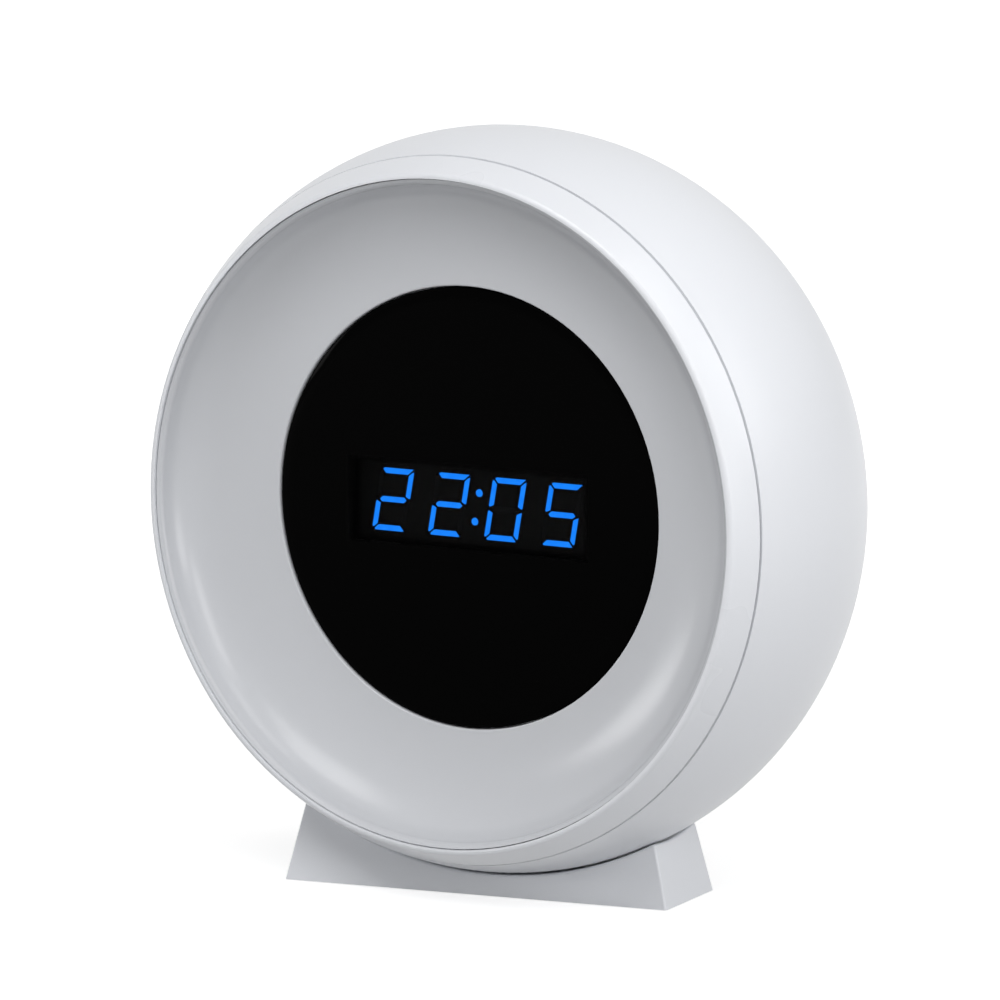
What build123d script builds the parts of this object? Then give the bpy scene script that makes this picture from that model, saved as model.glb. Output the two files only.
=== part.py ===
"""Night light clock: a barrel-shaped lamp with a clock in its light dish, on a small magnetic foot."""
import os
from math import asin, cos, degrees, radians, sin, sqrt, tan

from build123d import *

os.makedirs("parts", exist_ok=True)

# Lengths are in millimetres. "Ahead" is the distance in front of the lamp's widest circle.

# Lamp barrel, turned about a level axis
lamp_radius = 50.5
barrel_arc = 36.24
seam_ahead = 13.69
lip_ahead = 18.0
lamp_back = 23.5
shell_wall = 2.2
back_round = 2.0
seam_gap = 0.38
overrun = 1.0
quarter_turn_angle = 90.0

# Front ring: lip, and the tongue that slips into the shell
lip_width = 0.61
lip_round = 0.6
tongue_fit = 0.15
post_radius = 2.8
post_grip_depth = 1.0
post_root_length = 2.8
post_gap = 0.45
post_count = 4

# Light bowl
rim_fit = 0.12
rim_depth = 0.4
rim_height = 1.8
flare_width = 0.7
flare_depth = 0.4
flare_round = 0.6
rim_seat_depth = 5.0
bowl_wall = 1.8
floor_land = 0.5
floor_round = 0.25
ledge_width = 3.0
ledge_wall = 1.5
skirt_wall = 1.8
skirt_fit = 0.1

# Display lens, slightly domed
display_share = 0.589
display_ahead = 9.85
lens_fit = 0.2
lens_recess = 0.35
lens_thickness = 2.0
lens_dome = 0.4

# Clock digits: size between bar middles, and the slant of the figures
digit_width = 4.55
digit_height = 7.82
digit_pitch = 8.89
bar_thickness = 0.7
bar_gap = 0.2
bar_round = 0.15
digit_slant_angle = 10.1
digit_drop_height = 0.2
dot_radius = 0.5
dot_spacing = 3.92
shown_time = "22:05"
guide_depth = 1.2
digit_gap = 0.3
well_fit = 0.05

# Segment housing
housing_width = 41.0
housing_height = 15.0
housing_depth = 4.3
housing_round = 1.0
display_led_length = 1.2
display_led_width = 0.6
display_led_height = 0.5

# Front board and the parts on it
board_thickness = 1.2
front_board_rim_width = 2.0
hole_fit = 0.2
lamp_led_count = 24
lamp_led_length = 3.5
lamp_led_width = 2.8
lamp_led_height = 0.8
chip_length = 10.0
chip_width = 7.5
chip_height = 1.8
chip_offset = 24.0
crystal_radius = 1.0
crystal_length = 6.0
crystal_offset = 9.0

# Chassis plate
chassis_rim_width = 1.5
chassis_thickness = 2.0
chassis_gap = 2.5
ribbon_window_height = 5.0
ribbon_window_width = 14.0
fence_height = 3.0
fence_wall = 1.2
fence_fit = 0.3

# Battery pack and its leads
battery_length_share = 0.87
battery_height_share = 0.6
battery_depth = 8.0
battery_round = 2.0
lead_radius = 0.6
lead_spacing = 2.6
lead_bend_radius = 2.0
lead_reach_length = 3.2
lead_share = 0.5
battery_socket_length = 7.0
battery_socket_width = 4.0
battery_socket_height = 2.0

# Controls in the back: where they stand on the panel, from the lamp's axis
panel_width_share = 1.15
panel_height_share = 0.67
panel_round = 4.0
panel_recess_depth = 0.5
button_row_share = 0.139
button_pitch_share = 0.297
socket_row_share = 0.158
control_gap = 0.8
control_proud_height = 1.0

# Push buttons and their switches
button_radius = 4.0
button_fit = 0.2
button_round = 0.4
mark_length = 3.4
mark_width = 0.6
mark_depth = 0.25
flange_width = 0.9
flange_thickness = 1.0
flange_gap = 0.15
plunger_radius = 1.7
plunger_fit = 0.15
plunger_reach = 1.3
plunger_depth = 1.0
switch_size = 6.0
switch_height = 3.5
switch_bore_depth = 2.0

# Light slider and its switch
slider_travel = 2.0
finger_length = 3.6
finger_height = 3.0
slider_fit = 0.2
ridge_count = 3
ridge_pitch = 0.9
ridge_gap = 0.4
ridge_depth = 0.3
slider_plate_length = 12.4
slider_plate_height = 5.4
slider_plate_thickness = 0.8
slider_stem = 1.6
slider_stem_depth = 0.8
slider_body_length = 9.0
slider_body_height = 4.4
slider_body_depth = 3.0
slider_slot_depth = 1.2

# Charging socket
usb_width = 8.94
usb_height = 3.26
usb_wall = 0.3
usb_fit = 0.25
usb_mouth_depth = 0.4
usb_cavity_depth = 6.2
tongue_width = 6.7
tongue_thickness = 0.7
usb_tongue_gap = 0.6

# Alarm sounder and the holes over it
buzzer_radius = 4.3
buzzer_height = 5.5
buzzer_port_radius = 1.0
buzzer_port_depth = 2.0
sound_hole_radius = 0.7
sound_hole_ring_radius = 2.6
sound_hole_count = 6

# Control board and the cable between the boards
control_board_width_share = 1.11
control_board_height_share = 0.634
control_board_round = 2.0
control_screw_inset = 3.0
control_boss_radius = 2.4
header_length = 12.0
header_width = 3.2
header_height = 1.8
ribbon_width = 10.0
ribbon_thickness = 0.4
ribbon_bend_radius = 0.8
ribbon_offset = 22.0
ribbon_gap = 0.9
header_inset = 3.0

# Screws
screw_fit = 0.05
screw_pass_fit = 0.2
screw_head_height = 1.6
screw_cross_depth = 0.7
screw_cross_share = 0.3
case_screw_radius = 1.25
case_screw_head_radius = 2.4
case_screw_bite = 6.0
case_screw_count = 4
case_screw_start_angle = 45.0
chassis_screw_radius = 1.1
chassis_screw_head_radius = 2.1
chassis_screw_bite = 4.0
board_screw_radius = 0.85
board_screw_head_radius = 1.7
board_screw_bite = 4.0
tower_radius = 3.6
tower_inset = 4.4
tower_web_thickness = 2.0
tower_length = 8.3
tower_gap = 0.1
well_radius = 2.7
case_post_radius = 3.0

# Magnets that hold the lamp in its seat
lamp_magnet_radius = 7.0
lamp_magnet_thickness = 1.5
magnet_skin = 1.5
magnet_fit = 0.15
pedestal_wall = 1.45
foot_magnet_radius = 4.4
foot_magnet_thickness = 1.0
foot_magnet_play = 0.1

# Foot: a leaning block, turned a little under the lamp, with a ball-shaped seat
foot_width = 56.4
foot_depth = 16.4
foot_blank_height = 14.0
foot_side_angle = 13.66
foot_face_angle = 6.28
foot_turn_angle = 8.1
foot_shift_left = 2.62
foot_shift_back = 2.15
foot_edge_round = 0.35
seat_gap = 0.25
seat_thickness = 2.65
pad_inset = 1.2
pad_fit = 0.1
pad_recess_depth = 0.7
pad_proud_height = 0.1
ballast_length = 10.0
ballast_depth = 11.0
ballast_height = 2.4
ballast_offset = 20.0
ballast_fit = 0.1

# The lamp's axis stands over the foot's seat
foot_bottom = pad_proud_height
seat_radius = lamp_radius + seat_gap
axis_height = foot_bottom + seat_thickness + seat_radius
barrel_offset = lamp_radius - barrel_arc
inner_arc = barrel_arc - shell_wall


def barrel(ahead):
    """Outer radius of the lamp at a distance ahead of its widest circle."""
    return barrel_offset + sqrt(barrel_arc**2 - ahead**2)


def barrel_inside(ahead):
    """Inner radius of the shell at a distance ahead of the widest circle."""
    return barrel_offset + sqrt(inner_arc**2 - ahead**2)


# Places along the lamp's axis, from the sizes above
rim_top = lip_ahead - rim_depth
rim_low = rim_top - rim_height
rim_seat_low = rim_top - rim_seat_depth
flare_low = rim_top - flare_depth
bowl_floor = display_ahead + lens_recess
lens_back = display_ahead - lens_thickness
digits_front = lens_back - digit_gap
board_front = digits_front - housing_depth
board_back = board_front - board_thickness
chassis_front = board_back - chassis_gap
chassis_back = chassis_front - chassis_thickness
battery_back = chassis_back - battery_depth
inner_back = shell_wall - lamp_back
panel_floor = panel_recess_depth - lamp_back
flange_back = inner_back + flange_gap
flange_front = flange_back + flange_thickness
switch_top = flange_front + plunger_reach
control_back = switch_top + switch_height
control_front = control_back + board_thickness
control_face = panel_floor - control_proud_height
tower_front = inner_back + tower_length
well_floor = tower_front - tower_web_thickness
case_post_back = tower_front + tower_gap

# Radii of the bowl and of what stands around it
display_radius = lamp_radius * display_share
rim_outer = barrel(lip_ahead) - lip_width - rim_fit
rim_inner = rim_outer - flare_width
pocket_radius = display_radius + lens_fit
floor_radius = pocket_radius + floor_land
bowl_reach = rim_inner - floor_radius
bowl_depth = flare_low - bowl_floor
bowl_seat_angle = degrees(asin((flare_low - rim_seat_low) / (bowl_depth + bowl_wall)))
bowl_seat_radius = floor_radius + (bowl_reach + bowl_wall) * cos(radians(bowl_seat_angle))
tongue_inner = bowl_seat_radius + rim_fit
post_ring_radius = tongue_inner + post_grip_depth - post_radius
post_reach_share = (post_ring_radius - post_radius - floor_radius) / (bowl_reach + bowl_wall)
bowl_behind = flare_low - (bowl_depth + bowl_wall) * sqrt(1 - post_reach_share**2)
post_front = bowl_behind - post_gap
tongue_end = post_front - post_root_length
front_board_radius = post_ring_radius + front_board_rim_width
chassis_radius = post_ring_radius + chassis_rim_width
lamp_led_ring_radius = (floor_radius + post_ring_radius - post_radius) / 2
case_screw_ring_radius = barrel_inside(inner_back) - tower_radius - tower_inset

# Layout of the back, of the boards and of the battery
panel_width = lamp_radius * panel_width_share
panel_height = lamp_radius * panel_height_share
button_row = lamp_radius * button_row_share
button_pitch = lamp_radius * button_pitch_share
socket_row = -lamp_radius * socket_row_share
slider_reach = slider_plate_length / 2 + slider_travel
usb_across = -slider_reach - control_gap - usb_width / 2
buzzer_across = slider_reach + control_gap + buzzer_radius
control_board_width = lamp_radius * control_board_width_share
control_board_height = lamp_radius * control_board_height_share
control_screw_spacing_x = control_board_width - 2 * control_screw_inset
control_screw_spacing_y = control_board_height - 2 * control_screw_inset
header_above_axis = control_board_height / 2 - header_inset
battery_length = lamp_radius * battery_length_share
battery_height = lamp_radius * battery_height_share
pad_top = foot_bottom + pad_recess_depth
lamp_magnet_bottom = axis_height - lamp_radius + magnet_skin

# The lamp's axis, and the half section that its round pieces are turned from (radius, ahead)
lamp_axis = Axis((0, 0, axis_height), (0, -1, 0))
lamp_section = Plane(origin=(0, 0, axis_height), x_dir=(0, 0, 1), z_dir=(1, 0, 0))
foot_plane = Plane(
    origin=(-foot_shift_left, foot_shift_back, foot_bottom),
    x_dir=(cos(radians(foot_turn_angle)), sin(radians(foot_turn_angle)), 0),
    z_dir=(0, 0, 1),
)


def across(ahead):
    """Plane across the lamp's axis at a distance ahead of its widest circle, facing the front."""
    return Plane(origin=(0, -ahead, axis_height), x_dir=(1, 0, 0), z_dir=(0, -1, 0))


def facing_back(ahead):
    """Plane across the lamp's axis that faces the back, with the same right and up turned about."""
    return Plane(origin=(0, -ahead, axis_height), x_dir=(-1, 0, 0), z_dir=(0, 1, 0))


def save(piece, name):
    """Label a finished piece and write its file."""
    piece.part.label = name
    export_step(piece.part, f"parts/{name}.step")


def bar_corners(spread):
    """Corners of the seven bars of a digit, by their usual letters, mitred and grown by the spread."""
    x = digit_width / 2
    y = digit_height / 2
    half = bar_thickness / 2 + spread
    end = bar_gap - spread
    over = [(x + half - end, y + half), (x - half - end, y - half)]
    over += [(half + end - x, y - half), (end - half - x, y + half)]
    side = [(x + half, y + half - end), (x + half, end), (x - half, end + half), (x - half, y - half - end)]
    cross = [(x - end, 0), (x - end - half, half), (half + end - x, half)]
    cross += [(end - x, 0), (half + end - x, -half), (x - end - half, -half)]
    return {
        "a": over,
        "b": side,
        "c": [(u, -v) for u, v in side],
        "d": [(u, -v) for u, v in over],
        "e": [(-u, -v) for u, v in side],
        "f": [(-u, v) for u, v in side],
        "g": cross,
    }


BARS_OF_DIGIT = {
    "0": "abcdef",
    "1": "bc",
    "2": "abdeg",
    "3": "abcdg",
    "4": "bcfg",
    "5": "acdfg",
    "6": "acdefg",
    "7": "abc",
    "8": "abcdefg",
    "9": "abcdfg",
}


def slanted(x, y):
    """Place of a point of the digits on the board, leaned over by the slant."""
    return (x + y * tan(radians(digit_slant_angle)), y - digit_drop_height)


def digit_bars(lit):
    """Middle of the digit and letter of each bar that is lit, or isn't."""
    digits = shown_time.replace(":", "")
    bars = []
    for place, digit in enumerate(digits):
        middle = (place - (len(digits) - 1) / 2) * digit_pitch
        bars += [(middle, letter) for letter in "abcdefg" if (letter in BARS_OF_DIGIT[digit]) == lit]
    return bars


def draw_bars(bars, spread):
    """Draw the outline of each bar as a face of the sketch in hand."""
    corners = bar_corners(spread)
    for middle, letter in bars:
        Polygon(*[slanted(middle + x, y) for x, y in corners[letter]], align=None)


def dot_places():
    """Places of the two dots between hours and minutes."""
    return [slanted(0, dot_spacing / 2), slanted(0, -dot_spacing / 2)]


# Rear shell: barrel from the seam to the flat back, open at the front
seam_back = seam_ahead - seam_gap / 2
with BuildPart() as rear_shell:
    with BuildSketch(lamp_section):
        with BuildLine():
            outer = ThreePointArc(
                (barrel(seam_back), seam_back), (lamp_radius, 0), (barrel(-lamp_back), -lamp_back)
            )
            Polyline(outer @ 1, (0, -lamp_back), (0, inner_back), (barrel_inside(inner_back), inner_back))
            inner = ThreePointArc(
                (barrel_inside(inner_back), inner_back),
                (lamp_radius - shell_wall, 0),
                (barrel_inside(seam_back), seam_back),
            )
            Line(inner @ 1, outer @ 0)
        make_face()
    revolve(axis=lamp_axis)
    fillet(rear_shell.edges().group_by(Axis.Y)[-1], radius=back_round)
    # Pocket for the magnet, low in the shell
    with BuildSketch(Plane.XY.offset(lamp_magnet_bottom)):
        Circle(lamp_magnet_radius + magnet_fit + pedestal_wall)
    extrude(amount=lamp_magnet_thickness)
    with BuildSketch(Plane.XY.offset(lamp_magnet_bottom)):
        Circle(lamp_magnet_radius + magnet_fit)
    extrude(amount=lamp_magnet_thickness + overrun, mode=Mode.SUBTRACT)
    # Screw towers, and bosses for the control board
    with BuildSketch(across(inner_back)):
        with PolarLocations(case_screw_ring_radius, case_screw_count, case_screw_start_angle):
            Circle(tower_radius)
    extrude(amount=tower_length)
    with BuildSketch(across(inner_back)):
        with GridLocations(control_screw_spacing_x, control_screw_spacing_y, 2, 2):
            Circle(control_boss_radius)
    extrude(amount=control_back - inner_back)
    with BuildSketch(across(control_back)):
        with GridLocations(control_screw_spacing_x, control_screw_spacing_y, 2, 2):
            Circle(board_screw_radius + screw_fit)
    extrude(amount=-board_screw_bite, mode=Mode.SUBTRACT)
    with Locations(facing_back(-lamp_back)):
        with PolarLocations(case_screw_ring_radius, case_screw_count, case_screw_start_angle):
            CounterBoreHole(
                case_screw_radius + screw_pass_fit,
                well_radius,
                well_floor + lamp_back,
                depth=tower_front + lamp_back,
            )
    # Panel, and the openings in it
    with BuildSketch(across(-lamp_back)):
        RectangleRounded(panel_width, panel_height, panel_round)
    extrude(amount=panel_recess_depth, mode=Mode.SUBTRACT)
    with BuildSketch(across(-lamp_back)):
        with Locations((0, button_row)):
            with GridLocations(button_pitch, 0, 3, 1):
                Circle(button_radius + button_fit)
        with Locations((usb_across, socket_row)):
            SlotOverall(usb_width + 2 * usb_fit, usb_height + 2 * usb_fit)
        with Locations((0, socket_row)):
            Rectangle(
                finger_length + 2 * slider_travel + 2 * slider_fit, finger_height + 2 * slider_fit
            )
        with Locations((buzzer_across, socket_row)):
            Circle(sound_hole_radius)
            with PolarLocations(sound_hole_ring_radius, sound_hole_count):
                Circle(sound_hole_radius)
    extrude(amount=shell_wall + overrun, mode=Mode.SUBTRACT)
save(rear_shell, "rear_shell")

# Front ring: lip, conical seat for the bowl, tongue and board posts
seam_front = seam_ahead + seam_gap / 2
tongue_outer = barrel_inside(seam_back) - tongue_fit
outer_middle = (seam_front + lip_ahead) / 2
with BuildPart() as front_ring:
    with BuildSketch(lamp_section):
        with BuildLine():
            outer = ThreePointArc(
                (barrel(seam_front), seam_front),
                (barrel(outer_middle), outer_middle),
                (barrel(lip_ahead), lip_ahead),
            )
            Polyline(
                outer @ 1,
                (rim_outer + rim_fit, lip_ahead),
                (rim_outer + rim_fit, rim_low),
                (tongue_inner, rim_seat_low),
                (tongue_inner, tongue_end),
                (tongue_outer, tongue_end),
                (tongue_outer, seam_front),
                outer @ 0,
            )
        make_face()
    revolve(axis=lamp_axis)
    fillet(front_ring.edges().group_by(Axis.Y)[0].sort_by(SortBy.LENGTH)[-1], radius=lip_round)
    with BuildSketch(across(board_front)):
        with PolarLocations(post_ring_radius, post_count):
            Circle(post_radius)
    extrude(amount=post_front - board_front)
    with BuildSketch(across(board_front)):
        with PolarLocations(post_ring_radius, post_count):
            Circle(chassis_screw_radius + screw_fit)
    extrude(amount=chassis_screw_bite, mode=Mode.SUBTRACT)
save(front_ring, "front_ring")

# Light bowl: opal dish with a pocket for the lens and a skirt that keeps stray light off the digits
with BuildPart() as light_bowl:
    with BuildSketch(lamp_section):
        with BuildLine():
            front = EllipticalCenterArc(
                (floor_radius, flare_low),
                bowl_reach,
                bowl_depth,
                start_angle=-quarter_turn_angle,
                arc_size=quarter_turn_angle,
            )
            rear = EllipticalCenterArc(
                (floor_radius, flare_low),
                bowl_reach + bowl_wall,
                bowl_depth + bowl_wall,
                start_angle=-quarter_turn_angle,
                arc_size=quarter_turn_angle - bowl_seat_angle,
            )
            Polyline(front @ 1, (rim_outer, rim_top), (rim_outer, rim_low), rear @ 1)
            land = Line(front @ 0, (pocket_radius + floor_round, bowl_floor))
            edge = JernArc(land @ 1, land % 1, floor_round, quarter_turn_angle)
            Polyline(
                edge @ 1,
                (pocket_radius, lens_back),
                (pocket_radius - ledge_width, lens_back),
                (pocket_radius - ledge_width, lens_back - ledge_wall),
                (floor_radius - skirt_wall, lens_back - ledge_wall),
                (floor_radius - skirt_wall, board_front + skirt_fit),
                (floor_radius, board_front + skirt_fit),
                rear @ 0,
            )
        make_face()
    revolve(axis=lamp_axis)
    fillet(light_bowl.edges().sort_by_distance((rim_inner, -flare_low, axis_height))[0], radius=flare_round)
save(light_bowl, "light_bowl")

# Display lens: smoked disc with a slight dome
with BuildPart() as display_lens:
    with BuildSketch(lamp_section):
        with BuildLine():
            crown = (0, display_ahead + lens_dome)
            dome = TangentArc(crown, (display_radius, display_ahead), tangent=(1, 0))
            Polyline(dome @ 1, (display_radius, lens_back), (0, lens_back), crown)
        make_face()
    revolve(axis=lamp_axis)
save(display_lens, "display_lens")

# Light guides of the bars and dots, lit and unlit
with BuildPart() as lit_segments:
    with BuildSketch(across(digits_front)) as outlines:
        draw_bars(digit_bars(True), 0)
        fillet(outlines.vertices(), radius=bar_round)
        with Locations(*dot_places()):
            Circle(dot_radius)
    extrude(amount=-guide_depth)
save(lit_segments, "lit_segments")

with BuildPart() as unlit_segments:
    with BuildSketch(across(digits_front)) as outlines:
        draw_bars(digit_bars(False), 0)
        fillet(outlines.vertices(), radius=bar_round)
    extrude(amount=-guide_depth)
save(unlit_segments, "unlit_segments")

# Segment housing: black block with a well behind each bar and dot
every_bar = digit_bars(True) + digit_bars(False)
with BuildPart() as segment_housing:
    with BuildSketch(across(board_front)):
        with Locations((0, -digit_drop_height)):
            RectangleRounded(housing_width, housing_height, housing_round)
    extrude(amount=housing_depth)
    with BuildSketch(across(board_front)):
        draw_bars(every_bar, well_fit)
        with Locations(*dot_places()):
            Circle(dot_radius + well_fit)
    extrude(amount=housing_depth, mode=Mode.SUBTRACT)
save(segment_housing, "segment_housing")

# Small LEDs at the bottom of the wells; places are parts of the digit's width and height
led_place_shares = {
    "a": (0, 1 / 2),
    "b": (1 / 2, 1 / 4),
    "c": (1 / 2, -1 / 4),
    "d": (0, -1 / 2),
    "e": (-1 / 2, -1 / 4),
    "f": (-1 / 2, 1 / 4),
    "g": (0, 0),
}
with BuildPart() as display_leds:
    with BuildSketch(across(board_front)):
        for middle, letter in every_bar:
            x, y = led_place_shares[letter]
            with Locations(slanted(middle + x * digit_width, y * digit_height)):
                turn = 0 if letter in "adg" else quarter_turn_angle - digit_slant_angle
                Rectangle(display_led_length, display_led_width, rotation=turn)
        with Locations(*dot_places()):
            Rectangle(display_led_width, display_led_width)
    extrude(amount=display_led_height)
save(display_leds, "display_leds")

# Front board
with BuildPart() as front_board:
    with BuildSketch(across(board_back)):
        Circle(front_board_radius)
        with PolarLocations(post_ring_radius, post_count):
            Circle(chassis_screw_radius + hole_fit, mode=Mode.SUBTRACT)
    extrude(amount=board_thickness)
save(front_board, "front_board")

# Ring of white LEDs behind the bowl
with BuildPart() as lamp_leds:
    with BuildSketch(across(board_front)):
        with PolarLocations(lamp_led_ring_radius, lamp_led_count):
            Rectangle(lamp_led_width, lamp_led_length)
    extrude(amount=lamp_led_height)
save(lamp_leds, "lamp_leds")

# Timekeeping chip and crystal on the back of the front board
with BuildPart() as clock_chip:
    with BuildSketch(across(board_back)):
        with Locations((0, -chip_offset)):
            Rectangle(chip_length, chip_width)
    extrude(amount=-chip_height)
save(clock_chip, "clock_chip")

with BuildPart() as clock_crystal:
    with BuildSketch(Plane.XY.offset(axis_height - chip_offset - crystal_length / 2)):
        with Locations((crystal_offset, crystal_radius - board_back)):
            Circle(crystal_radius)
    extrude(amount=crystal_length)
save(clock_crystal, "clock_crystal")

# Chassis plate: spacers to the board, posts for the case screws, and a fence round the battery
with BuildPart() as chassis_plate:
    with BuildSketch(across(chassis_back)):
        Circle(chassis_radius)
    extrude(amount=chassis_thickness)
    with BuildSketch(across(chassis_front)):
        with PolarLocations(post_ring_radius, post_count):
            Circle(post_radius)
    extrude(amount=chassis_gap)
    with BuildSketch(across(chassis_back)):
        with PolarLocations(case_screw_ring_radius, case_screw_count, case_screw_start_angle):
            Circle(case_post_radius)
    extrude(amount=case_post_back - chassis_back)
    with BuildSketch(across(chassis_back)):
        Rectangle(
            battery_length + 2 * (fence_fit + fence_wall), battery_height + 2 * (fence_fit + fence_wall)
        )
        Rectangle(battery_length + 2 * fence_fit, battery_height + 2 * fence_fit, mode=Mode.SUBTRACT)
    extrude(amount=-fence_height)
    with BuildSketch(across(chassis_back)):
        with PolarLocations(post_ring_radius, post_count):
            Circle(chassis_screw_radius + screw_pass_fit)
    extrude(amount=chassis_thickness + chassis_gap, mode=Mode.SUBTRACT)
    with BuildSketch(across(case_post_back)):
        with PolarLocations(case_screw_ring_radius, case_screw_count, case_screw_start_angle):
            Circle(case_screw_radius + screw_fit)
    extrude(amount=case_screw_bite, mode=Mode.SUBTRACT)
    with BuildSketch(across(chassis_front)):
        with Locations((0, ribbon_offset)):
            Rectangle(ribbon_window_width, ribbon_window_height)
    extrude(amount=-chassis_thickness - fence_height, mode=Mode.SUBTRACT)
save(chassis_plate, "chassis_plate")

# Battery pack against the chassis plate
with BuildPart() as battery_pack:
    with BuildSketch(across(chassis_back)):
        Rectangle(battery_length, battery_height)
    extrude(amount=-battery_depth)
    fillet(battery_pack.edges().filter_by(Axis.Z), radius=battery_round)
save(battery_pack, "battery_pack")

# Control board on the shell's bosses
with BuildPart() as control_board:
    with BuildSketch(across(control_back)):
        RectangleRounded(control_board_width, control_board_height, control_board_round)
        with GridLocations(control_screw_spacing_x, control_screw_spacing_y, 2, 2):
            Circle(board_screw_radius + hole_fit, mode=Mode.SUBTRACT)
    extrude(amount=board_thickness)
save(control_board, "control_board")

# Socket for the battery leads, and the two leads
socket_middle = battery_length / 2 + lead_reach_length
socket_top = control_front + battery_socket_height
with BuildPart() as battery_socket:
    with BuildSketch(across(control_front)):
        with Locations((socket_middle, 0)):
            Rectangle(battery_socket_width, battery_socket_length)
    extrude(amount=battery_socket_height)
save(battery_socket, "battery_socket")

lead_leaves = chassis_back - battery_depth * lead_share
with BuildPart() as battery_leads:
    for side in (-1, 1):
        lead_height = axis_height + side * lead_spacing / 2
        with BuildLine() as route:
            FilletPolyline(
                (battery_length / 2, -lead_leaves, lead_height),
                (socket_middle, -lead_leaves, lead_height),
                (socket_middle, -socket_top, lead_height),
                radius=lead_bend_radius,
            )
        with BuildSketch(Plane(origin=route.line @ 0, z_dir=route.line % 0)):
            Circle(lead_radius)
        sweep(path=route.line)
save(battery_leads, "battery_leads")

# Headers and the flat cable between the two boards
with BuildPart() as ribbon_headers:
    with BuildSketch(across(board_back)):
        with Locations((0, ribbon_offset)):
            Rectangle(header_length, header_width)
    extrude(amount=-header_height)
    with BuildSketch(across(control_front)):
        with Locations((0, header_above_axis)):
            Rectangle(header_length, header_width)
    extrude(amount=header_height)
save(ribbon_headers, "ribbon_headers")

with BuildPart() as ribbon_cable:
    with BuildLine(lamp_section) as route:
        FilletPolyline(
            (ribbon_offset, board_back - header_height),
            (ribbon_offset, battery_back - ribbon_gap),
            (header_above_axis, battery_back - ribbon_gap),
            (header_above_axis, control_front + header_height),
            radius=ribbon_bend_radius,
        )
    with BuildSketch(Plane(origin=route.line @ 0, x_dir=(1, 0, 0), z_dir=route.line % 0)):
        Rectangle(ribbon_width, ribbon_thickness)
    sweep(path=route.line)
save(ribbon_cable, "ribbon_cable")

# Push buttons, each with its switch plunger, and the switch bodies on the board
button_places = {"set": -button_pitch, "up": 0, "down": button_pitch}
for word, place in button_places.items():
    with BuildPart() as button:
        with BuildSketch(across(flange_back)):
            with Locations((place, button_row)):
                Circle(button_radius + flange_width)
        extrude(amount=flange_thickness)
        with BuildSketch(across(flange_back)):
            with Locations((place, button_row)):
                Circle(button_radius)
        extrude(amount=control_face - flange_back)
        fillet(button.edges().group_by(Axis.Y)[-1], radius=button_round)
        with BuildSketch(across(control_face)):
            with Locations((place, button_row)):
                if word == "set":
                    Circle(mark_length / 2)
                    Circle(mark_length / 2 - mark_width, mode=Mode.SUBTRACT)
                else:
                    Rectangle(mark_length, mark_width)
                if word == "up":
                    Rectangle(mark_width, mark_length)
        extrude(amount=mark_depth, mode=Mode.SUBTRACT)
    save(button, f"{word}_button")
    with BuildPart() as plunger:
        with BuildSketch(across(flange_front)):
            with Locations((place, button_row)):
                Circle(plunger_radius)
        extrude(amount=plunger_reach + plunger_depth)
    save(plunger, f"{word}_plunger")

with BuildPart() as switch_bodies:
    with BuildSketch(across(control_back)):
        with Locations((0, button_row)):
            with GridLocations(button_pitch, 0, 3, 1):
                Rectangle(switch_size, switch_size)
    extrude(amount=-switch_height)
    with BuildSketch(across(switch_top)):
        with Locations((0, button_row)):
            with GridLocations(button_pitch, 0, 3, 1):
                Circle(plunger_radius + plunger_fit)
    extrude(amount=switch_bore_depth, mode=Mode.SUBTRACT)
save(switch_bodies, "switch_bodies")

# Light slider, and the switch that its stem works
slider_front = flange_back + slider_plate_thickness
slider_body_top = control_back - slider_body_depth
with BuildPart() as light_slider:
    with BuildSketch(across(flange_back)):
        with Locations((0, socket_row)):
            Rectangle(slider_plate_length, slider_plate_height)
    extrude(amount=slider_plate_thickness)
    with BuildSketch(across(flange_back)):
        with Locations((0, socket_row)):
            Rectangle(finger_length, finger_height)
    extrude(amount=control_face - flange_back)
    fillet(light_slider.edges().group_by(Axis.Y)[-1], radius=button_round)
    with BuildSketch(across(control_face)):
        with Locations((0, socket_row)):
            with GridLocations(ridge_pitch, 0, ridge_count, 1):
                Rectangle(ridge_gap, finger_height)
    extrude(amount=ridge_depth, mode=Mode.SUBTRACT)
    with BuildSketch(across(slider_front)):
        with Locations((0, socket_row)):
            Rectangle(slider_stem, slider_stem)
    extrude(amount=slider_body_top + slider_stem_depth - slider_front)
save(light_slider, "light_slider")

with BuildPart() as slider_body:
    with BuildSketch(across(control_back)):
        with Locations((0, socket_row)):
            Rectangle(slider_body_length, slider_body_height)
    extrude(amount=-slider_body_depth)
    with BuildSketch(across(slider_body_top)):
        with Locations((0, socket_row)):
            Rectangle(slider_stem + 2 * (slider_travel + slider_fit), slider_stem + 2 * slider_fit)
    extrude(amount=slider_slot_depth, mode=Mode.SUBTRACT)
save(slider_body, "slider_body")

# Charging socket: metal shell on the board, open to the back, with its tongue
usb_mouth = panel_floor + usb_mouth_depth
with BuildPart() as usb_socket:
    with BuildSketch(across(control_back)):
        with Locations((usb_across, socket_row)):
            SlotOverall(usb_width, usb_height)
    extrude(amount=usb_mouth - control_back)
    with BuildSketch(across(usb_mouth)):
        with Locations((usb_across, socket_row)):
            SlotOverall(usb_width - 2 * usb_wall, usb_height - 2 * usb_wall)
    extrude(amount=usb_cavity_depth, mode=Mode.SUBTRACT)
save(usb_socket, "usb_socket")

with BuildPart() as usb_tongue:
    with BuildSketch(across(usb_mouth + usb_cavity_depth)):
        with Locations((usb_across, socket_row)):
            Rectangle(tongue_width, tongue_thickness)
    extrude(amount=usb_tongue_gap - usb_cavity_depth)
save(usb_tongue, "usb_tongue")

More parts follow.
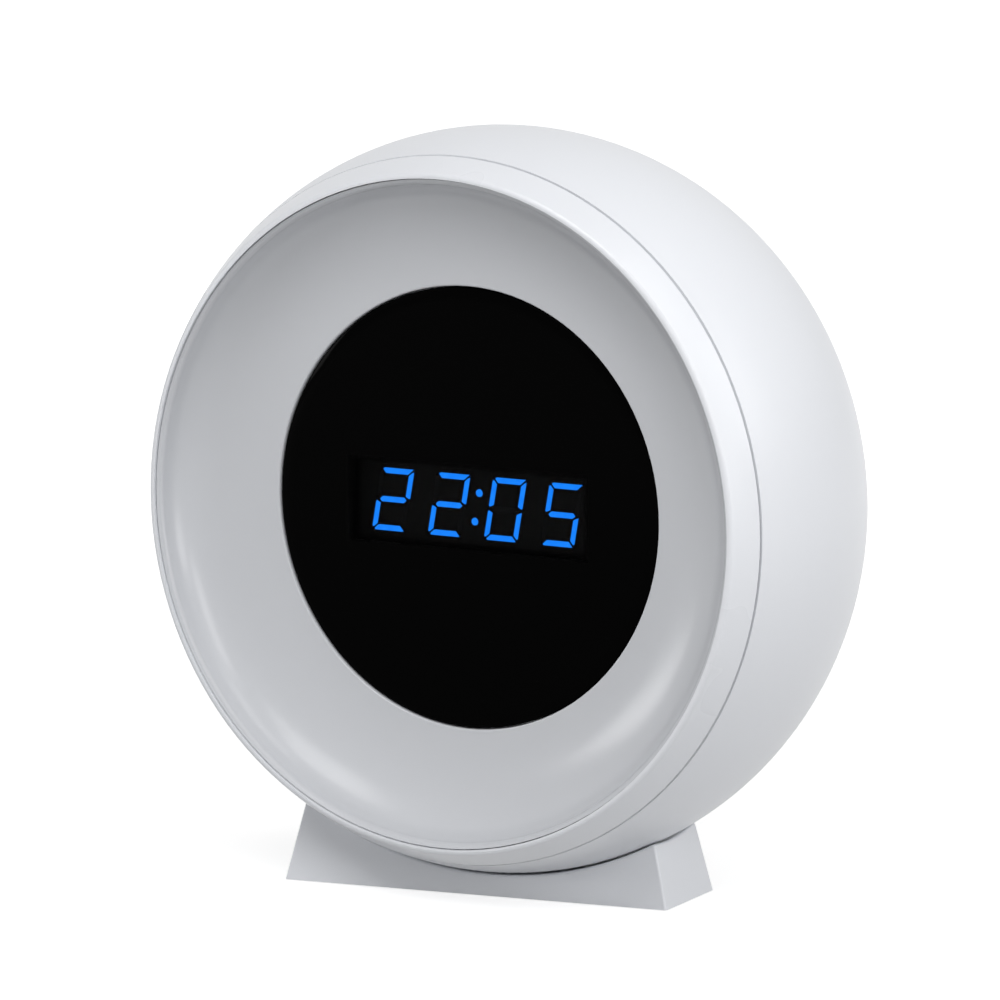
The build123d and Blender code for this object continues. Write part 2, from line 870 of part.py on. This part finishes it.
# Alarm sounder with its port towards the holes in the back
with BuildPart() as buzzer:
    with BuildSketch(across(control_back)):
        with Locations((buzzer_across, socket_row)):
            Circle(buzzer_radius)
    extrude(amount=-buzzer_height)
    with BuildSketch(across(control_back - buzzer_height)):
        with Locations((buzzer_across, socket_row)):
            Circle(buzzer_port_radius)
    extrude(amount=buzzer_port_depth, mode=Mode.SUBTRACT)
save(buzzer, "buzzer")


def screw_group(places, head_seat, shank_radius, head_radius, shank_length, ahead_sign):
    """Cross-head screws at the places, seated on a plane and pointing to the front or the back."""
    with BuildPart() as screws:
        with BuildSketch(across(head_seat)):
            with places():
                Circle(shank_radius)
        extrude(amount=ahead_sign * shank_length)
        with BuildSketch(across(head_seat)):
            with places():
                Circle(head_radius)
        extrude(amount=-ahead_sign * screw_head_height)
        with BuildSketch(across(head_seat - ahead_sign * screw_head_height)):
            with places():
                Rectangle(head_radius, head_radius * screw_cross_share)
                Rectangle(head_radius * screw_cross_share, head_radius)
        extrude(amount=ahead_sign * screw_cross_depth, mode=Mode.SUBTRACT)
    return screws


def case_screw_places():
    return PolarLocations(case_screw_ring_radius, case_screw_count, case_screw_start_angle)


def chassis_screw_places():
    return PolarLocations(post_ring_radius, post_count)


def board_screw_places():
    return GridLocations(control_screw_spacing_x, control_screw_spacing_y, 2, 2)


# Case screws from the back into the chassis posts
case_screws = screw_group(
    case_screw_places,
    well_floor,
    case_screw_radius,
    case_screw_head_radius,
    tower_web_thickness + case_screw_bite,
    1,
)
save(case_screws, "case_screws")

# Chassis screws through the plate and the front board into the ring's posts
chassis_screws = screw_group(
    chassis_screw_places,
    chassis_back,
    chassis_screw_radius,
    chassis_screw_head_radius,
    board_front - chassis_back + chassis_screw_bite,
    1,
)
save(chassis_screws, "chassis_screws")

# Board screws from inside into the shell's bosses
board_screws = screw_group(
    board_screw_places,
    control_front,
    board_screw_radius,
    board_screw_head_radius,
    board_thickness + board_screw_bite,
    -1,
)
save(board_screws, "board_screws")

# Magnet low in the lamp
with BuildPart() as lamp_magnet:
    with BuildSketch(Plane.XY.offset(lamp_magnet_bottom)):
        Circle(lamp_magnet_radius)
    extrude(amount=lamp_magnet_thickness)
save(lamp_magnet, "lamp_magnet")

# Foot block: leaning sides, ball seat, and pockets from below
top_width = foot_width - 2 * foot_blank_height * tan(radians(foot_side_angle))
top_depth = foot_depth - 2 * foot_blank_height * tan(radians(foot_face_angle))
magnet_pocket_height = foot_magnet_thickness + 2 * foot_magnet_play
with BuildPart() as foot_block:
    with BuildSketch(foot_plane):
        Rectangle(foot_width, foot_depth)
    with BuildSketch(foot_plane.offset(foot_blank_height)):
        Rectangle(top_width, top_depth)
    loft(ruled=True)
    with Locations((0, 0, axis_height)):
        Sphere(seat_radius, mode=Mode.SUBTRACT)
    fillet(foot_block.edges().sort_by(Axis.Z)[4:], radius=foot_edge_round)
    with BuildSketch(foot_plane):
        Rectangle(foot_width - 2 * pad_inset, foot_depth - 2 * pad_inset)
    extrude(amount=pad_recess_depth, mode=Mode.SUBTRACT)
    with BuildSketch(Plane.XY.offset(pad_top)):
        Circle(foot_magnet_radius + magnet_fit)
    extrude(amount=magnet_pocket_height, mode=Mode.SUBTRACT)
    with BuildSketch(foot_plane.offset(pad_recess_depth)):
        with GridLocations(2 * ballast_offset, 0, 2, 1):
            Rectangle(ballast_length + 2 * ballast_fit, ballast_depth + 2 * ballast_fit)
    extrude(amount=ballast_height + ballast_fit, mode=Mode.SUBTRACT)
save(foot_block, "foot_block")

# Disc magnet, loose in its round pocket
with BuildPart() as foot_magnet:
    with BuildSketch(Plane.XY.offset(pad_top + foot_magnet_play)):
        Circle(foot_magnet_radius)
    extrude(amount=foot_magnet_thickness)
save(foot_magnet, "foot_magnet")

# Steel bars that weight the foot
with BuildPart() as ballast_bars:
    with BuildSketch(foot_plane.offset(pad_recess_depth)):
        with GridLocations(2 * ballast_offset, 0, 2, 1):
            Rectangle(ballast_length, ballast_depth)
    extrude(amount=ballast_height)
save(ballast_bars, "ballast_bars")

# Soft pad that closes the pockets and stands on the table
pad_width = foot_width - 2 * (pad_inset + pad_fit)
pad_depth = foot_depth - 2 * (pad_inset + pad_fit)
with BuildPart() as foot_pad:
    with BuildSketch(foot_plane.offset(-pad_proud_height)):
        Rectangle(pad_width, pad_depth)
    extrude(amount=pad_recess_depth + pad_proud_height)
save(foot_pad, "foot_pad")
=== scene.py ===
"""Looks of the night light clock: white moulded shell, glossy light dish, smoked lens, blue digits."""
import math

import bmesh
import bpy
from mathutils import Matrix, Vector


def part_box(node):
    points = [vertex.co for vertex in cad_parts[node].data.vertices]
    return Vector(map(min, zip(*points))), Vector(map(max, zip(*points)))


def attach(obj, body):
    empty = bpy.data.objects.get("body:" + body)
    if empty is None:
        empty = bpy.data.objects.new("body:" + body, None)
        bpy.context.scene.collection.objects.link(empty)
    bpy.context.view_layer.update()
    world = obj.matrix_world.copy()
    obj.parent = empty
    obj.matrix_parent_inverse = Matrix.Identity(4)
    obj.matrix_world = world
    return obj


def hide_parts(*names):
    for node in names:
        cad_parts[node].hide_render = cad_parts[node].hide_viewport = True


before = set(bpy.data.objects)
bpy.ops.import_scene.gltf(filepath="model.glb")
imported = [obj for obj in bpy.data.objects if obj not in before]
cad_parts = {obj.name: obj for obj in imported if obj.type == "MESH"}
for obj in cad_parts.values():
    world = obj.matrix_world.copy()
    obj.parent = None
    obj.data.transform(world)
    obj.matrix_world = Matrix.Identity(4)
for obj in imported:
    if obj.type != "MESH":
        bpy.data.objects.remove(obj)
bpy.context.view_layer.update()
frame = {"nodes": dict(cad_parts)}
nodes = frame["nodes"]

MM = 0.001
MICRON = 0.000001
LENS_LOW, LENS_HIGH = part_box("display_lens")
AXIS_HEIGHT = (LENS_LOW.z + LENS_HIGH.z) / 2
WHITE = (0.784, 0.80, 0.836)
DARK = (0.014, 0.014, 0.015)
PLASTIC_IOR = 1.49
NOISE_SPREAD = (0.3, 0.7)
LENS_BLACK = (0.0008, 0.0008, 0.0008, 1)
LENS_DOME = 0.4 * MM
LENS_BEVEL = 0.2 * MM
WINDOW_HALF_WIDTH = 18.3 * MM
WINDOW_HALF_HEIGHT = 5.2 * MM
LAMP_LED_COUNT = 24
LAMP_LED_HALF = 1.4 * MM


class Socket:
    """A node's output in Python expressions: each operator adds a Math node."""

    def __init__(self, nodes, link):
        self.nodes = nodes
        self.link = link

    def math(self, operation, *values):
        return self.nodes.node("ShaderNodeMath", {"operation": operation}, *values)

    def __add__(self, other):
        return self.math("ADD", self, other)

    def __sub__(self, other):
        return self.math("SUBTRACT", self, other)

    def __rsub__(self, other):
        return self.math("SUBTRACT", other, self)

    def __mul__(self, other):
        return self.math("MULTIPLY", self, other)

    def __truediv__(self, other):
        return self.math("DIVIDE", self, other)

    def root(self):
        return self.math("SQRT", self)

    def size(self):
        return self.math("ABSOLUTE", self)

    def most(self, other):
        return self.math("MAXIMUM", self, other)

    def part(self):
        return self.math("FRACT", self)

    def angle(self, across):
        return self.math("ARCTAN2", self, across)

    def output(self, name):
        """Another output of the same node."""
        return Socket(self.nodes, self.link.node.outputs[name])


class Nodes:
    """The nodes of one material or of the world."""

    def __init__(self, tree):
        self.tree = tree
        self.tree.nodes.clear()

    def node(self, kind, settings, *values, **named):
        """Add a node: settings first, then values or links of its sockets, by order or by name."""
        made = self.tree.nodes.new(kind)
        for key, value in settings.items():
            setattr(made, key, value)
        placed = [*enumerate(values), *((key.replace("_", " "), value) for key, value in named.items())]
        for place, value in placed:
            if isinstance(value, Socket):
                self.tree.links.new(value.link, made.inputs[place])
            elif value is not None:
                made.inputs[place].default_value = value
        return Socket(self, made.outputs[0]) if made.outputs else None

    def seen(self):
        """One where the camera, a gloss or a clear piece looks, zero for light that only bounces."""
        path = self.node("ShaderNodeLightPath", {})
        camera = path.output("Is Camera Ray")
        return camera.most(path.output("Is Glossy Ray")).most(path.output("Is Transmission Ray"))


class Finish(Nodes):
    """One procedural material."""

    def __init__(self, name):
        self.material = bpy.data.materials.new(name)
        self.material.use_nodes = True
        super().__init__(self.material.node_tree)

    def place(self):
        """Object coordinates."""
        return self.node("ShaderNodeTexCoord", {}).output("Object")

    def axes(self):
        """Object coordinates as three numbers."""
        split = self.node("ShaderNodeSeparateXYZ", {}, self.place())
        return split.output("X"), split.output("Y"), split.output("Z")

    def face_on(self):
        """Numbers across and up from the lamp's axis, seen face on."""
        x, _, z = self.axes()
        return x, z - AXIS_HEIGHT

    def noise(self, scale, detail=2.0, stretch=(1, 1, 1)):
        """Even noise from 0 to 1; scale is patches in a metre."""
        place = self.place()
        if stretch != (1, 1, 1):
            place = self.node("ShaderNodeMapping", {}, place, Scale=stretch)
        return self.node("ShaderNodeTexNoise", {}, Vector=place, Scale=scale, Detail=detail)

    def range(self, value, low, high, to_low=0.0, to_high=1.0):
        """Carry a number smoothly from one range to another, held at both ends."""
        kind = {"interpolation_type": "SMOOTHSTEP"}
        return self.node("ShaderNodeMapRange", kind, value, low, high, to_low, to_high)

    def cloud(self, scale, low=0.0, high=1.0, detail=2.0):
        """Soft patches from low to high; scale is patches in a metre."""
        return self.range(self.noise(scale, detail), *NOISE_SPREAD, low, high)

    def mix(self, share, first, second):
        """Colour between two colours."""
        first, second = ((*c, 1) if isinstance(c, tuple) else c for c in (first, second))
        unused = [None] * 5
        mixed = self.node("ShaderNodeMix", {"data_type": "RGBA"}, share, *unused, first, second)
        return Socket(self, mixed.link.node.outputs[2])

    def bump(self, height, depth, strength=0.5):
        """Normal from a height; depth is in metres."""
        return self.node("ShaderNodeBump", {}, Strength=strength, Distance=depth, Height=height)

    def surface(self, **sockets):
        """Principled shader to the output."""
        shader = self.node("ShaderNodeBsdfPrincipled", {}, **sockets)
        self.node("ShaderNodeOutputMaterial", {}, Surface=shader)
        return self.material


def darker(colour, share):
    return tuple(part * share for part in colour)


def moulded(name, tone, roughness, grain_depth, gloss_level=0.5, grain=5200):
    """Moulded plastic: fine spark-eroded grain, and a faint unevenness of colour and gloss."""
    finish = Finish(name)
    cloud = finish.cloud(30)
    gloss = finish.cloud(60, roughness - 0.008, roughness + 0.008)
    return finish.surface(
        Base_Color=finish.mix(cloud, tone, darker(tone, 0.99)),
        Roughness=gloss,
        Normal=finish.bump(finish.noise(grain), grain_depth),
        IOR=PLASTIC_IOR,
        Specular_IOR_Level=gloss_level,
    )


def smoked_lens():
    """Smoked lens: black print behind it, but for the clear window over the digits."""
    finish = Finish("lens_smoked")
    across, up = finish.face_on()
    window = (across.size() - WINDOW_HALF_WIDTH).most(up.size() - WINDOW_HALF_HEIGHT)
    haze = finish.noise(240, 3)
    return finish.surface(
        Base_Color=LENS_BLACK,
        Roughness=finish.range(haze, *NOISE_SPREAD, 0.04, 0.07),
        Alpha=finish.range(window, -0.3 * MM, 0.8 * MM, 0.5, 1.0),
        IOR=PLASTIC_IOR,
        Specular_IOR_Level=0.01,
    )


def lit_guide():
    """Blue light guide, a little uneven along the bars."""
    finish = Finish("digit_blue")
    cloud = finish.cloud(900)
    return finish.surface(
        Base_Color=(0.02, 0.1, 0.3, 1),
        Roughness=0.3,
        Emission_Color=finish.mix(cloud, (0.006, 0.205, 0.93), (0.008, 0.235, 1.0)),
        Emission_Strength=4.0,
    )


def circuit_board(name):
    """Solder mask over copper tracks, with tinned pads and specks of pale legend."""
    finish = Finish(name)
    across, up = finish.face_on()
    flat = finish.node("ShaderNodeCombineXYZ", {}, across, up, 0.0)
    blocks = finish.node("ShaderNodeTexBrick", {"offset": 0.37}, flat, Scale=260.0, Mortar_Size=0.035)
    tracks = blocks.output("Fac")
    flat_cells = {"voronoi_dimensions": "2D"}
    dots = finish.node("ShaderNodeTexVoronoi", flat_cells, flat, Scale=420.0, Randomness=0.35)
    pads = finish.range(dots, 0.16, 0.2, 1.0, 0.0)
    legend = finish.range(finish.noise(700, 1), 0.7, 0.72)
    mask = finish.mix(tracks, (0.012, 0.12, 0.045), (0.02, 0.19, 0.075))
    printed = finish.mix(legend, mask, (0.7, 0.72, 0.7))
    return finish.surface(
        Base_Color=finish.mix(pads, printed, (0.72, 0.7, 0.66)),
        Roughness=finish.cloud(300, 0.3, 0.42, 3),
        Metallic=pads,
        Normal=finish.bump(tracks.most(pads), 40 * MICRON),
    )


def lamp_led(name):
    """White light package with its yellow phosphor window; they stand in a ring."""
    finish = Finish(name)
    across, up = finish.face_on()
    low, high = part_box("lamp_leds")
    ring = (high.x - low.x) / 2 - LAMP_LED_HALF
    reach = (across * across + up * up).root()
    pitch = 2 * math.pi / LAMP_LED_COUNT
    turn = up.angle(across) / pitch + (LAMP_LED_COUNT + 0.5)
    along = (turn.part() - 0.5) * pitch * reach
    out = reach - ring
    window = finish.range((along * along + out * out).root(), 1.0 * MM, 1.15 * MM, 1.0, 0.0)
    return finish.surface(
        Base_Color=finish.mix(window, (0.8, 0.79, 0.75), (0.82, 0.6, 0.08)),
        Roughness=finish.range(window, 0.0, 1.0, 0.45, 0.16),
        Normal=finish.bump(finish.noise(3000), 20 * MICRON),
    )


def blue_led(name):
    """Small clear light with a pale base."""
    finish = Finish(name)
    _, y, _ = finish.axes()
    low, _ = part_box("display_leds")
    lid = finish.range(y, low.y + 0.2 * MM, low.y + 0.3 * MM, 1.0, 0.0)
    return finish.surface(
        Base_Color=finish.mix(lid, (0.72, 0.7, 0.62), (0.45, 0.58, 0.72)),
        Roughness=finish.cloud(1500, 0.14, 0.3),
        Normal=finish.bump(finish.noise(4000), 10 * MICRON),
    )


def chip_body(name):
    """Black epoxy, matt, with a round mark at the first leg."""
    finish = Finish(name)
    across, up = finish.face_on()
    low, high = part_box("clock_chip")
    over = across - (low.x + 1.3 * MM)
    above = up - (high.z - AXIS_HEIGHT - 1.3 * MM)
    mark = finish.range((over * over + above * above).root(), 0.45 * MM, 0.55 * MM, 1.0, 0.0)
    grain = finish.noise(6000)
    return finish.surface(
        Base_Color=finish.mix(grain, (0.012, 0.012, 0.013), (0.022, 0.022, 0.022)),
        Roughness=finish.range(mark, 0.0, 1.0, 0.62, 0.25),
        Normal=finish.bump(grain * (1 - mark), 40 * MICRON),
    )


def drawn_metal(name, tone, roughness, stretch, lines=900):
    """Drawn or plated metal: fine lines one way, with a faint cloud in the plating."""
    finish = Finish(name)
    scratches = finish.noise(lines, 3, stretch)
    cloud = finish.cloud(160, detail=3)
    return finish.surface(
        Base_Color=finish.mix(cloud, tone, darker(tone, 0.86)),
        Metallic=1.0,
        Roughness=finish.range(scratches, *NOISE_SPREAD, roughness - 0.06, roughness + 0.1),
        Normal=finish.bump(scratches, 10 * MICRON, 0.4),
    )


def battery_film(name):
    """Shrink film round the cells: creased near both ends, with an overlap along the middle."""
    finish = Finish(name)
    across, up = finish.face_on()
    _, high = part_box("battery_pack")
    ends = finish.range(across.size(), high.x - 7 * MM, high.x - 1 * MM)
    creases = finish.noise(420, 4, (0.25, 1, 1)) * ends
    overlap = finish.range(up.size(), 4.0 * MM, 4.15 * MM, 1.0, 0.0)
    return finish.surface(
        Base_Color=finish.mix(overlap, (0.025, 0.13, 0.36), (0.02, 0.105, 0.3)),
        Roughness=finish.cloud(200, 0.2, 0.32, 3),
        Normal=finish.bump(creases + overlap * 0.15, 300 * MICRON),
    )


def lead_cover(name):
    """Two leads: the upper one red, the lower one black."""
    finish = Finish(name)
    _, up = finish.face_on()
    upper = finish.range(up, -0.1 * MM, 0.1 * MM)
    return finish.surface(
        Base_Color=finish.mix(upper, (0.012, 0.012, 0.013), (0.5, 0.018, 0.014)),
        Roughness=finish.cloud(900, 0.34, 0.48, 3),
        Normal=finish.bump(finish.noise(2600), 30 * MICRON),
    )


def ribbon_cover(name):
    """Flat cable of ten cores, grey, with a red core at one edge, and painted shade darkening the
    grooves between the cores.
    """
    finish = Finish(name)
    across, _ = finish.face_on()
    core = ((across / MM + 100).part() - 0.5).size()
    groove = finish.range(core, 0.38, 0.5)
    first = finish.range(across, -4.1 * MM, -3.9 * MM, 1.0, 0.0)
    cover = finish.mix(first, (0.42, 0.43, 0.44), (0.5, 0.03, 0.03))
    return finish.surface(
        # Painted shade: the grooves between the cores are darkened halfway towards dark grey.
        Base_Color=finish.mix(groove * 0.5, cover, (0.16, 0.16, 0.17)),
        Roughness=finish.cloud(700, 0.38, 0.5),
        Normal=finish.bump(1 - groove, 200 * MICRON),
    )


def soft_pad(name):
    """Soft grip pad: matt, with small raised dots, which are painted lighter than the pad around them
    as painted light on their tops.
    """
    finish = Finish(name)
    dots = finish.node("ShaderNodeTexVoronoi", {}, finish.place(), Scale=650.0, Randomness=0.1)
    raised = finish.range(dots, 0.25, 0.5, 1.0, 0.0)
    return finish.surface(
        # Painted light: the raised dots are lighter than the pad between them.
        Base_Color=finish.mix(raised, (0.2, 0.205, 0.21), (0.27, 0.275, 0.28)),
        Roughness=finish.cloud(500, 0.72, 0.85),
        Normal=finish.bump(raised, 100 * MICRON),
    )


finishes = {
    "rear_shell": moulded("shell_white", WHITE, 0.34, 20 * MICRON),
    "front_ring": moulded("ring_white", WHITE, 0.28, 10 * MICRON),
    # Light dish: white darkened to 0.76, partly the opal diffuser's own greyer tone and partly painted
    # shade of the recessed dish.
    "light_bowl": moulded("bowl_opal", darker(WHITE, 0.76), 0.22, 10 * MICRON, 0.3),
    "foot_block": moulded("foot_white", WHITE, 0.42, 20 * MICRON),
    "set_button up_button down_button light_slider": moulded("button_white", WHITE, 0.38, 20 * MICRON),
    "lit_segments": lit_guide(),
    "unlit_segments": moulded("digit_dark", (0.004, 0.005, 0.007), 0.35, 10 * MICRON),
    "segment_housing": moulded("housing_black", (0.004, 0.004, 0.004), 0.6, 30 * MICRON),
    "display_leds": blue_led("led_blue"),
    "front_board control_board": circuit_board("board_green"),
    "lamp_leds": lamp_led("led_white"),
    "clock_chip": chip_body("chip_black"),
    "clock_crystal": drawn_metal("crystal_can", (0.62, 0.62, 0.6), 0.28, (1, 1, 0.05)),
    "chassis_plate": moulded("chassis_grey", (0.3, 0.31, 0.32), 0.5, 40 * MICRON),
    "battery_pack": battery_film("battery_wrap"),
    "battery_leads": lead_cover("lead_red"),
    "battery_socket": moulded("socket_cream", (0.72, 0.68, 0.55), 0.42, 20 * MICRON),
    "ribbon_cable": ribbon_cover("ribbon_grey"),
    "ribbon_headers": moulded("header_black", DARK, 0.45, 30 * MICRON),
    "set_plunger up_plunger down_plunger": moulded("plunger_black", DARK, 0.4, 20 * MICRON),
    "switch_bodies slider_body": drawn_metal("switch_steel", (0.6, 0.6, 0.6), 0.34, (1, 0.05, 1)),
    "usb_socket": drawn_metal("usb_steel", (0.66, 0.66, 0.65), 0.27, (1, 0.04, 1)),
    "usb_tongue": moulded("tongue_black", DARK, 0.5, 20 * MICRON),
    "buzzer": moulded("buzzer_black", DARK, 0.48, 30 * MICRON),
    "foot_magnet lamp_magnet": drawn_metal("magnet_nickel", (0.7, 0.68, 0.64), 0.2, (1, 1, 1), 500),
    "ballast_bars": drawn_metal("ballast_steel", (0.42, 0.42, 0.43), 0.42, (0.05, 1, 1)),
    "foot_pad": soft_pad("pad_grey"),
    "case_screws chassis_screws board_screws": drawn_metal(
        "screw_steel", (0.6, 0.6, 0.59), 0.3, (1, 1, 1)
    ),
}
for names, material in finishes.items():
    for name in names.split():
        nodes[name].data.materials.clear()
        nodes[name].data.materials.append(material)


def window_piece():
    """Domed window of the display, turned about the lamp's axis."""
    radius = (LENS_HIGH.x - LENS_LOW.x) / 2
    ball = (radius**2 + LENS_DOME**2) / (2 * LENS_DOME)
    bm = bmesh.new()
    pole = bmesh.ops.create_vert(bm, co=(0, LENS_LOW.y, AXIS_HEIGHT))["vert"]
    middle = (0, LENS_LOW.y + ball, AXIS_HEIGHT)
    rise = math.asin(radius / ball)
    bmesh.ops.spin(bm, geom=pole, cent=middle, axis=(0, 0, 1), angle=rise, steps=16)
    profile = [*bm.verts, *bm.edges]
    turn = {"cent": (0, 0, AXIS_HEIGHT), "axis": (0, 1, 0), "angle": 2 * math.pi}
    bmesh.ops.spin(bm, geom=profile, steps=180, use_merge=True, **turn)
    bmesh.ops.remove_doubles(bm, verts=bm.verts, dist=0.1 * MICRON)
    edge = [e for e in bm.edges if e.is_boundary]
    wall = bmesh.ops.extrude_edge_only(bm, edges=edge)["geom"]
    back = [v for v in wall if isinstance(v, bmesh.types.BMVert)]
    bmesh.ops.translate(bm, verts=back, vec=(0, LENS_HIGH.y - LENS_LOW.y - LENS_DOME, 0))
    bmesh.ops.edgeloop_fill(bm, edges=[e for e in bm.edges if e.is_boundary])
    rounding = {"segments": 3, "profile": 0.5, "affect": "EDGES", "material": -1, "clamp_overlap": True}
    bmesh.ops.bevel(bm, geom=edge, offset=LENS_BEVEL, **rounding)
    bmesh.ops.recalc_face_normals(bm, faces=bm.faces)
    piece = settled("display_window", bm, smoked_lens())
    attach(piece, "lamp")
    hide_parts("display_lens")


def settled(name, bm, material):
    """Make an object of a finished bmesh, smooth but for its sharp edges."""
    mesh = bpy.data.meshes.new(name)
    bm.to_mesh(mesh)
    bm.free()
    mesh.shade_smooth()
    mesh.set_sharp_from_angle(angle=math.radians(32))
    mesh.materials.append(material)
    piece = bpy.data.objects.new(name, mesh)
    bpy.context.scene.collection.objects.link(piece)
    return piece


window_piece()


def studio():
    """Pale floor, white background and a little even light."""
    scene = bpy.context.scene
    scene.view_settings.view_transform = "Standard"
    scene.world = bpy.data.worlds.new("studio")
    scene.world.use_nodes = True
    sky = Nodes(scene.world.node_tree)
    light = sky.node("ShaderNodeBackground", {}, (1, 1, 1, 1), sky.seen().most(AMBIENT))
    sky.node("ShaderNodeOutputWorld", {}, Surface=light)

    bm = bmesh.new()
    bmesh.ops.create_grid(bm, x_segments=1, y_segments=1, size=6)
    finish = Finish("floor_pale")
    seen = finish.seen()
    x, y, _ = finish.axes()
    near = finish.range((x * x + y * y).root(), *GLOW_RADII, 1.0, 0.0)
    cloud = finish.cloud(3)
    pale = finish.mix(cloud, (0.5, 0.5, 0.5), (0.52, 0.52, 0.52))
    glow = finish.mix(near, (1.0, 1.0, 1.0), (0.72, 0.72, 0.72))
    finish.surface(
        Base_Color=finish.mix(seen, (0.45, 0.45, 0.45), pale),
        Roughness=0.8,
        Emission_Color=finish.mix(seen, (0.0, 0.0, 0.0), glow),
        Emission_Strength=1.0,
    )
    settled("floor", bm, finish.material)


def area_lamp(name, place, width, height, power):
    """Soft lamp that faces the object."""
    lamp = bpy.data.lights.new(name, "AREA")
    lamp.shape = "RECTANGLE"
    lamp.size = width
    lamp.size_y = height
    lamp.energy = power
    holder = bpy.data.objects.new(name, lamp)
    holder.location = place
    aim = Vector((0, 0, AXIS_HEIGHT)) - Vector(place)
    holder.rotation_euler = aim.to_track_quat("-Z", "Y").to_euler()
    bpy.context.scene.collection.objects.link(holder)


AMBIENT = 0.15
GLOW_RADII = (0.1, 0.5)
LAMPS = (
    ("right_high", (0.6, -0.1, 1.05), 0.6, 0.6, 2.5),
    ("right_middle", (1.0, 0.25, 0.6), 0.4, 0.6, 2.0),
    ("right_low", (1.15, -0.25, 0.2), 0.5, 0.3, 2.5),
    ("right_front", (0.85, -0.7, 0.55), 0.3, 0.6, 3.0),
    ("left_low", (-0.98, -0.72, 0.15), 0.4, 0.2, 2.2),
    ("front_high", (0.0, -0.75, 1.0), 0.6, 0.6, 6.0),
)
studio()
for lamp in LAMPS:
    area_lamp(*lamp)


PHOTO_AZIMUTH = math.radians(31.955)
PHOTO_ELEVATION = math.radians(8.5)
PHOTO_AIM = Vector((0.15 * MM, -1.95 * MM, AXIS_HEIGHT + 0.1 * MM))
PHOTO_DISTANCE = 1.345
PHOTO_LENS = 360
PHOTO_SENSOR = 36


def photo_camera():
    """Camera at the photograph's angle: far off, with a long lens."""
    camera = bpy.data.cameras.new("photo_camera")
    camera.lens = PHOTO_LENS
    camera.sensor_width = PHOTO_SENSOR
    camera.clip_start = 0.05
    camera.clip_end = 30
    holder = bpy.data.objects.new("photo_camera", camera)
    flat = math.cos(PHOTO_ELEVATION)
    side, front = math.sin(PHOTO_AZIMUTH) * flat, math.cos(PHOTO_AZIMUTH) * flat
    back = Vector((side, -front, math.sin(PHOTO_ELEVATION)))
    holder.location = PHOTO_AIM + back * PHOTO_DISTANCE
    holder.rotation_euler = (-back).to_track_quat("-Z", "Y").to_euler()
    bpy.context.scene.collection.objects.link(holder)
    bpy.context.scene.camera = holder


photo_camera()
